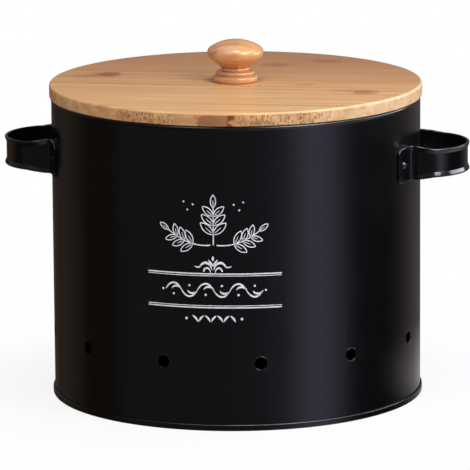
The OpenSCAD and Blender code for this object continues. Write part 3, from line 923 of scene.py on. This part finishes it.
def make_world():
    """A dim room round a white backdrop. The camera sees plain white, and rough surfaces get
    an even grey light. Glossy ones mirror the room from the floor up: paper that is lit on
    the right, walls drawn by bearing under a thin haze, a high window and the ceiling."""
    world = bpy.data.worlds.new("studio")
    bpy.context.scene.world = world
    world.use_nodes = True
    tree = world.node_tree
    tree.nodes.clear()
    path = add(tree, "ShaderNodeLightPath").outputs
    way = add(tree, "ShaderNodeTexCoord").outputs["Generated"]
    axes = add(tree, "ShaderNodeSeparateXYZ", {"Vector": way}).outputs

    def by_height(low, high):
        """A share that grows from 0 to 1 between two heights of the direction looked in."""
        return add(tree, "ShaderNodeMapRange", {
            "Value": axes["Z"], "From Min": low, "From Max": high}, interpolation_type="SMOOTHSTEP")

    # The gradient runs round once, and the front lies a quarter along it
    around = add(tree, "ShaderNodeTexGradient", {"Vector": way}, gradient_type="RADIAL").outputs["Fac"]
    low = add(tree, "ShaderNodeValToRGB", {"Fac": around}, stops=[
        (0.25 + azimuth / 360, (*colour, 1)) for azimuth, colour in ROOM])
    high = add(tree, "ShaderNodeValToRGB", {"Fac": around}, stops=[
        (0.25 + azimuth / 360, (share, share, share, 1)) for azimuth, share in ROOM_ABOVE])
    window = add(tree, "ShaderNodeVectorMath", {0: high, "Scale": WINDOW}, operation="SCALE")
    haze = add(tree, "ShaderNodeMath", {0: by_height(0.02, 0.14), 1: 0.55}, operation="MULTIPLY")
    walls = add(tree, "ShaderNodeMix", {"Factor": haze, "A": low, "B": HAZE}, data_type="RGBA")
    room = add(tree, "ShaderNodeMapRange", {
        "Value": axes["X"], "From Min": -0.2, "From Max": 0.5, "To Min": 0.03, "To Max": 0.9})
    for layer, start, end in ((walls, -0.6, -0.35), (window, 0.4, 0.55), (CEILING, 0.8, 0.92)):
        room = add(tree, "ShaderNodeMix", {
            "Factor": by_height(start, end), "A": room, "B": layer}, data_type="RGBA")
    fill = add(tree, "ShaderNodeMix", {
        "Factor": path["Is Glossy Ray"], "A": (0.3, 0.3, 0.31, 1), "B": room}, data_type="RGBA")
    straight = add(tree, "ShaderNodeMath", {
        0: path["Is Camera Ray"], 1: path["Is Transmission Ray"]}, operation="MAXIMUM")
    seen = add(tree, "ShaderNodeMix", {
        "Factor": straight, "A": fill, "B": (1, 1, 1, 1)}, data_type="RGBA")
    sky = add(tree, "ShaderNodeBackground", {"Color": seen, "Strength": 1.0})
    add(tree, "ShaderNodeOutputWorld", {"Surface": sky})
    world.cycles.sampling_method = "NONE"


def make_floor():
    """White paper that runs into the backdrop. Near the tin it is lit like paper, so that
    the tin's shadow stays. The coat doesn't mirror it, as in the photograph, and from below
    it is open, so that the tin's base can be looked at."""
    material, tree = blank("white_paper")
    path = add(tree, "ShaderNodeLightPath").outputs
    place = add(tree, "ShaderNodeTexCoord").outputs["Object"]
    away = add(tree, "ShaderNodeVectorMath", {0: place}, operation="LENGTH")
    near = add(tree, "ShaderNodeMapRange", {
        "Value": away, "From Min": SHADOW_NEAR, "From Max": SHADOW_FAR,
        "To Min": SHADOW_SHARE, "To Max": 0.0}, interpolation_type="SMOOTHSTEP")
    paper = add(tree, "ShaderNodeBsdfDiffuse", {"Color": linear("#e6e6e6")})
    white = add(tree, "ShaderNodeEmission", {"Color": (1, 1, 1, 1), "Strength": 1.0})
    seen = add(tree, "ShaderNodeMixShader", {"Fac": near, 1: white, 2: paper})
    above = add(tree, "ShaderNodeMixShader", {"Fac": path["Is Camera Ray"], 1: paper, 2: seen})
    from_below = add(tree, "ShaderNodeNewGeometry").outputs["Backfacing"]
    clear = add(tree, "ShaderNodeBsdfTransparent")
    sheet = add(tree, "ShaderNodeMixShader", {"Fac": from_below, 1: above, 2: clear})
    add(tree, "ShaderNodeOutputMaterial", {"Surface": sheet})
    bm = bmesh.new()
    bmesh.ops.create_grid(bm, x_segments=1, y_segments=1, size=FLOOR_HALF)
    floor = link_mesh(bm, "floor", material)
    floor.visible_glossy = False


def make_lit_paper():
    """The paper close to the tin on the window's side is bright, which only reflections show."""
    material, tree = blank("lit_paper")
    place = add(tree, "ShaderNodeTexCoord").outputs["Object"]
    axes = add(tree, "ShaderNodeSeparateXYZ", {"Vector": place}).outputs
    away = add(tree, "ShaderNodeVectorMath", {0: place}, operation="LENGTH")
    near = add(tree, "ShaderNodeMapRange", {
        "Value": away, "From Min": LIT_FULL, "From Max": LIT_FAR, "To Min": 0.5, "To Max": 0.0})
    back = add(tree, "ShaderNodeMapRange", {
        "Value": axes["Y"], "From Min": LIT_FRONT_Y, "From Max": LIT_BACK_Y})
    bright = add(tree, "ShaderNodeMath", {0: near, 1: back}, operation="MULTIPLY")
    clear = add(tree, "ShaderNodeBsdfTransparent")
    glow = add(tree, "ShaderNodeEmission", {"Color": (1, 0.96, 0.95, 1), "Strength": 1.0})
    lit = add(tree, "ShaderNodeMixShader", {"Fac": bright, 1: clear, 2: glow})
    add(tree, "ShaderNodeOutputMaterial", {"Surface": lit})

    def place_card(along, across):
        level = bearing(mix(LIT_FROM, LIT_TO, across), 0, mix(LIT_NEAR, LIT_FAR, along))
        return level + Vector((0, 0, LIT_LIFT))

    bm = bmesh.new()
    lay_grid(bm, 4, 24, place_card)
    card = link_mesh(bm, "lit_paper", material)
    card.visible_camera = False
    card.visible_diffuse = False
    card.visible_shadow = False
    card.visible_transmission = False


make_camera()
make_world()
make_floor()
make_lit_paper()
bpy.context.scene.view_settings.view_transform = "Standard"
lamp("overhead", 20, 78, 1.0, (0.25, 0.25), 4.25)
lamp("window", 50, 31, 0.75, (0.3, 0.42), 3.0, "#f8f8ff")
lamp("side", 108, 8, 0.8, (0.55, 0.22), 3.0, "#f8f8ff")
lamp("far_window", -22, 35, 1.2, (0.5, 0.5), 3.0, "#ffeeec")

wall_coat = powder_coat("satin_black_powder_coat", "#070708", 0.2, 0.01)
strap_coat = powder_coat("semi_gloss_black_powder_coat", "#070708", 0.15, 0.008)
rivet_coat = powder_coat("glossy_black_rivet_paint", "#0a0a0b", 0.1, 0.003)
board = bamboo_board("oiled_strip_bamboo", 0.2)
knob_finish = varnished_knob("varnished_turned_bamboo")
seal_finish = silicone("milky_silicone")
zinc = zinc_plate("zinc_plated_steel")
white_ink = screen_ink("white_screen_ink")

for node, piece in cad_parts.items():
    if node in ("body_shell", "base_pan"):
        finish = wall_coat
    elif node.startswith("rivet"):
        finish = rivet_coat
    elif node.startswith("lid_strip"):
        finish = board
    elif node == "lid_seal":
        finish = seal_finish
    elif node == "knob_screw":
        finish = zinc
    else:
        continue
    piece.data.materials.clear()
    piece.data.materials.append(finish)

make_knob(knob_finish)
make_handle("right_strap_handle", "right_handle", 1, strap_coat)
make_handle("left_strap_handle", "left_handle", -1, strap_coat)
make_vent_edges(wall_coat)

print_rules(white_ink)
print_palmette(white_ink)
print_spray(white_ink)
print_scroll(white_ink)
print_row(white_ink)
